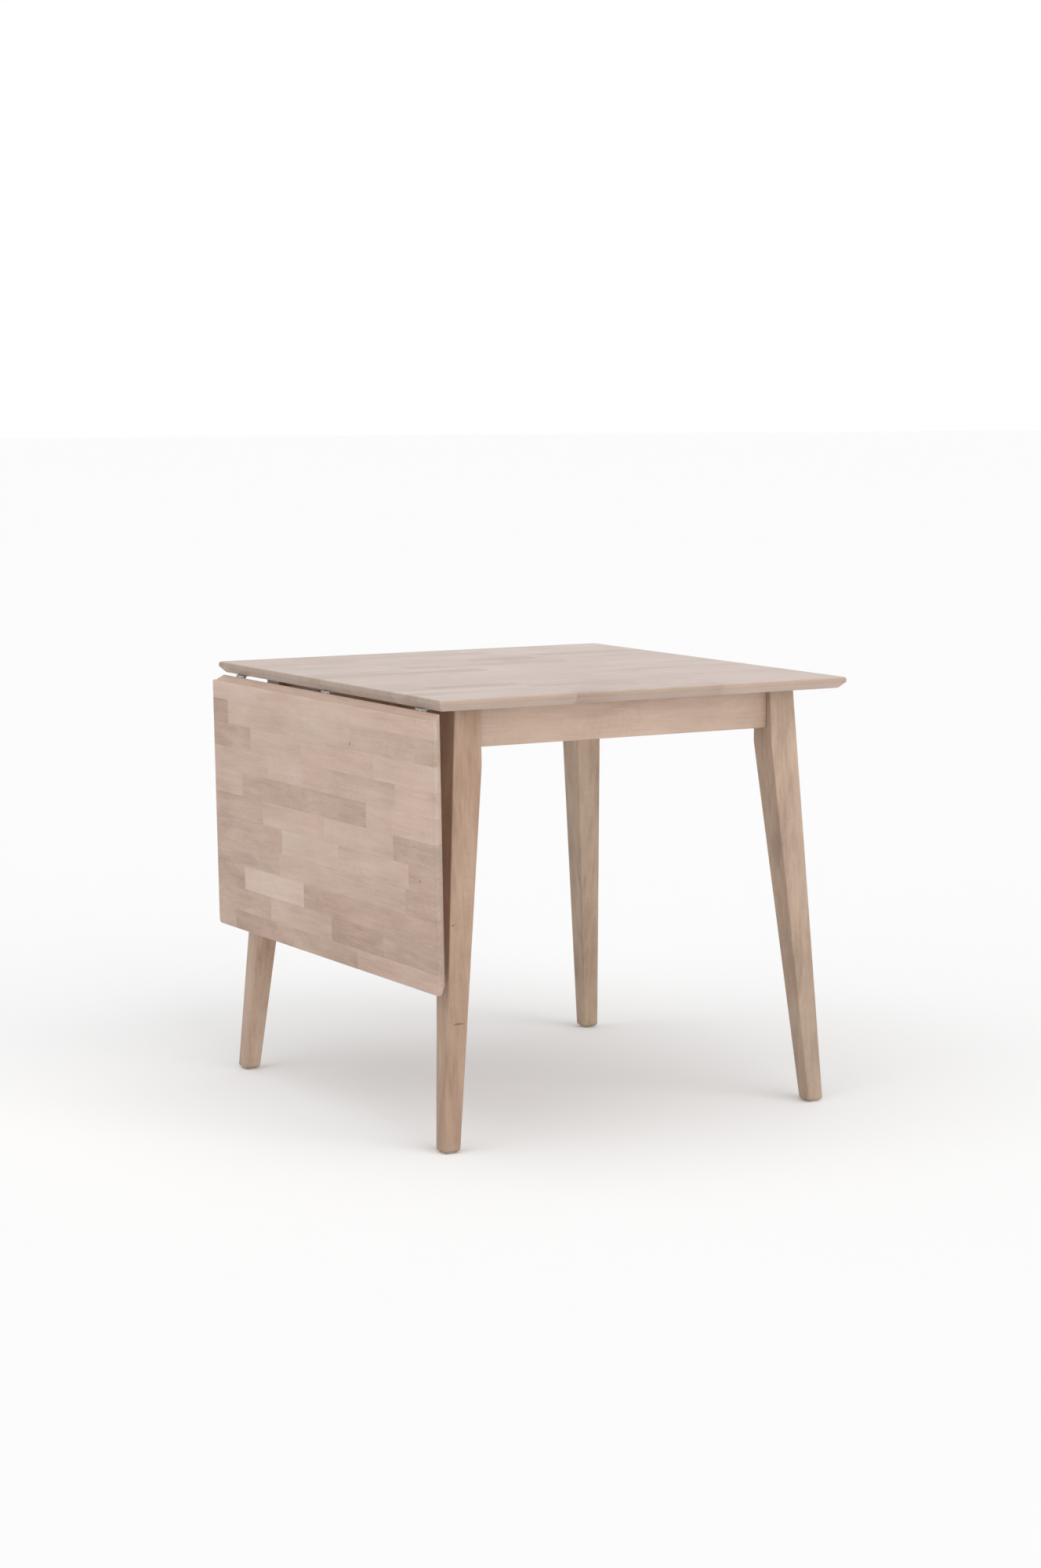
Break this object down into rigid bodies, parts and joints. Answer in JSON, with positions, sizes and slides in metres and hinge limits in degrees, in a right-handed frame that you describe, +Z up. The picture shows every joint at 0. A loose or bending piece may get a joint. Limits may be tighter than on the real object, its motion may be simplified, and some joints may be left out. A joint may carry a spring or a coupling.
{
  "type": "drop leaf table",
  "caption": "Square table with splayed, tapered legs and a hinged leaf that hangs at its side and swings up level with the top on folding stays.",
  "frame": {"origin": "on the floor, in the middle of the table's own box as it stands with the leaf hanging", "axes": "+Z up, -X towards the hanging leaf, Y along the hinge line"},
  "size_m": [0.8126, 0.8, 0.74],
  "materials": {
    "top_wood": "matt whitened oak, glued staves along X",
    "leaf_wood": "matt whitened oak, glued staves along Y",
    "frame_wood": "matt whitened oak, solid, grain along each piece",
    "block_wood": "sawn plain hardwood",
    "zinc_steel": "zinc plated, satin",
    "bolt_steel": "plain zinc plated steel",
    "glide": "pale moulded nylon, matt"
  },
  "bodies": {
    "frame": {"main_top": "top_wood", "leg_front_left": "frame_wood", "leg_back_left": "frame_wood", "leg_front_right": "frame_wood", "leg_back_right": "frame_wood", "apron_front": "frame_wood", "apron_back": "frame_wood", "apron_left": "frame_wood", "apron_right": "frame_wood", "corner_block_front_left": "block_wood", "corner_block_back_left": "block_wood", "corner_block_front_right": "block_wood", "corner_block_back_right": "block_wood", "leg_bolt_front_left": "bolt_steel", "leg_bolt_back_left": "bolt_steel", "leg_bolt_front_right": "bolt_steel", "leg_bolt_back_right": "bolt_steel", "bolt_nut_front_left": "bolt_steel", "bolt_nut_back_left": "bolt_steel", "bolt_nut_front_right": "bolt_steel", "bolt_nut_back_right": "bolt_steel", "top_screw_front_left": "bolt_steel", "top_screw_back_left": "bolt_steel", "top_screw_front_right": "bolt_steel", "top_screw_back_right": "bolt_steel", "glide_front_left": "glide", "glide_back_left": "glide", "glide_front_right": "glide", "glide_back_right": "glide", "hinge_fixed_front": "zinc_steel", "hinge_fixed_middle": "zinc_steel", "hinge_fixed_back": "zinc_steel", "hinge_pin_front": "zinc_steel", "hinge_pin_middle": "zinc_steel", "hinge_pin_back": "zinc_steel", "hinge_screw_top_front_1": "zinc_steel", "hinge_screw_top_front_2": "zinc_steel", "hinge_screw_top_middle_1": "zinc_steel", "hinge_screw_top_middle_2": "zinc_steel", "hinge_screw_top_back_1": "zinc_steel", "hinge_screw_top_back_2": "zinc_steel", "stay_bracket_front": "zinc_steel", "stay_bracket_back": "zinc_steel"},
    "leaf": {"drop_leaf": "leaf_wood", "hinge_leaf_front": "zinc_steel", "hinge_leaf_middle": "zinc_steel", "hinge_leaf_back": "zinc_steel", "hinge_screw_leaf_front_1": "zinc_steel", "hinge_screw_leaf_front_2": "zinc_steel", "hinge_screw_leaf_middle_1": "zinc_steel", "hinge_screw_leaf_middle_2": "zinc_steel", "hinge_screw_leaf_back_1": "zinc_steel", "hinge_screw_leaf_back_2": "zinc_steel", "stay_track_front": "zinc_steel", "stay_track_back": "zinc_steel"},
    "stay_strut_front": {"stay_strut_front": "zinc_steel"},
    "stay_slider_front": {"stay_slider_front": "zinc_steel"},
    "stay_strut_back": {"stay_strut_back": "zinc_steel"},
    "stay_slider_back": {"stay_slider_back": "zinc_steel"}
  },
  "joints": [
    {"name": "leaf_hinge", "type": "hinge", "parent": "frame", "child": "leaf", "pos_m": [-0.38476, 0, 0.7182], "axis": [0, 1, 0], "range_deg": [0, 91.2]},
    {"name": "stay_front_pivot", "type": "hinge", "parent": "frame", "child": "stay_strut_front", "pos_m": [-0.33066, -0.17, 0.67], "axis": [0, 1, 0], "range_deg": [0, 89.7]},
    {"name": "stay_front_slide", "type": "slide", "parent": "leaf", "child": "stay_slider_front", "axis": [0.0209, 0, -0.9998], "range_m": [-0.1026, 0]},
    {"name": "stay_back_pivot", "type": "hinge", "parent": "frame", "child": "stay_strut_back", "pos_m": [-0.33066, 0.17, 0.67], "axis": [0, 1, 0], "range_deg": [0, 89.7]},
    {"name": "stay_back_slide", "type": "slide", "parent": "leaf", "child": "stay_slider_back", "axis": [0.0209, 0, -0.9998], "range_m": [-0.1026, 0]}
  ],
  "couplings": [
    {"joint": "stay_front_pivot", "follows": "leaf_hinge", "ratio": 0.98284},
    {"joint": "stay_front_slide", "follows": "leaf_hinge", "m_per_rad": -0.064401},
    {"joint": "stay_back_pivot", "follows": "leaf_hinge", "ratio": 0.98284},
    {"joint": "stay_back_slide", "follows": "leaf_hinge", "m_per_rad": -0.064401}
  ]
}
